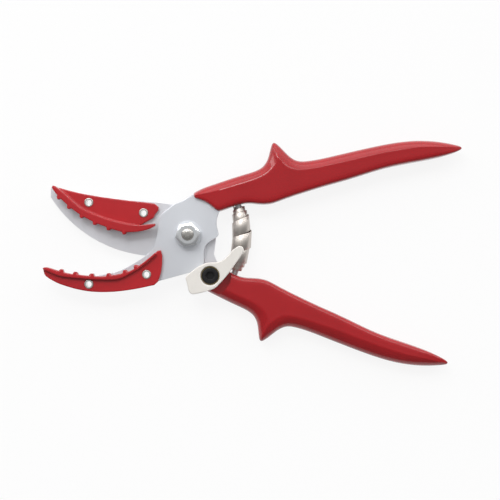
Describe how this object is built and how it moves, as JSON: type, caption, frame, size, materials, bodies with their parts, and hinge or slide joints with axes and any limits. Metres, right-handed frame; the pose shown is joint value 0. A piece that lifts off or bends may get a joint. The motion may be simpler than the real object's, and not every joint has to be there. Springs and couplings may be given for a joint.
{
  "type": "pruning shears",
  "caption": "Cut-and-hold bypass pruning shears with toothed holding jaws, two moulded grips with thumb horns, a volute spring and a catch lever.",
  "frame": {"origin": "on the pivot axis at the back face of the bolt's head, which lies in the plane that the grips rest on", "axes": "+Z along the pivot axis out of the front, +X from the pivot towards the grips, jaws towards -X, +Y towards the upper grip"},
  "size_m": [0.2088, 0.113, 0.0173],
  "materials": {
    "satin_steel": "satin, fine vertical brushing",
    "ground_steel": "ground, bright bevel at the edge",
    "red_grip": "glossy moulded red",
    "red_holder": "glossy moulded red",
    "nickel_eyelets": "bright nickel",
    "zinc_bolt": "zinc plated, slightly dull",
    "bright_nut": "bright nickel",
    "white_lever": "warm white, slightly worn gloss",
    "black_screw": "black oxide",
    "brass_bush": "plain brass",
    "spring_steel": "warm grey spring temper",
    "stud_steel": "plain"
  },
  "bodies": {
    "upper_half": {"counter_blade": "satin_steel", "upper_grip": "red_grip", "lower_holder": "red_holder", "lower_holder_eyelets": "nickel_eyelets", "pivot_bolt": "zinc_bolt", "pivot_nut": "bright_nut", "pivot_washer": "satin_steel", "pivot_back_washer": "satin_steel", "upper_spring_stud": "stud_steel", "spring": "spring_steel"},
    "lower_half": {"cutting_blade": "ground_steel", "lower_grip": "red_grip", "upper_holder": "red_holder", "upper_holder_eyelets": "nickel_eyelets", "catch_screw": "black_screw", "catch_bush": "brass_bush", "lower_spring_stud": "stud_steel"},
    "catch": {"catch_lever": "white_lever"}
  },
  "joints": [
    {"name": "grip_pivot", "type": "hinge", "parent": "upper_half", "child": "lower_half", "pos_m": [0, 0, 0], "axis": [0, 0, 1], "range_deg": [0, 30], "stiffness_Nm_per_rad": 2, "springref_deg": -28.65, "deforming": ["spring"]},
    {"name": "catch_pivot", "type": "hinge", "parent": "lower_half", "child": "catch", "pos_m": [0.0111, -0.0204, 0.0107], "axis": [0, 0, 1], "range_deg": [-35, 0]}
  ]
}
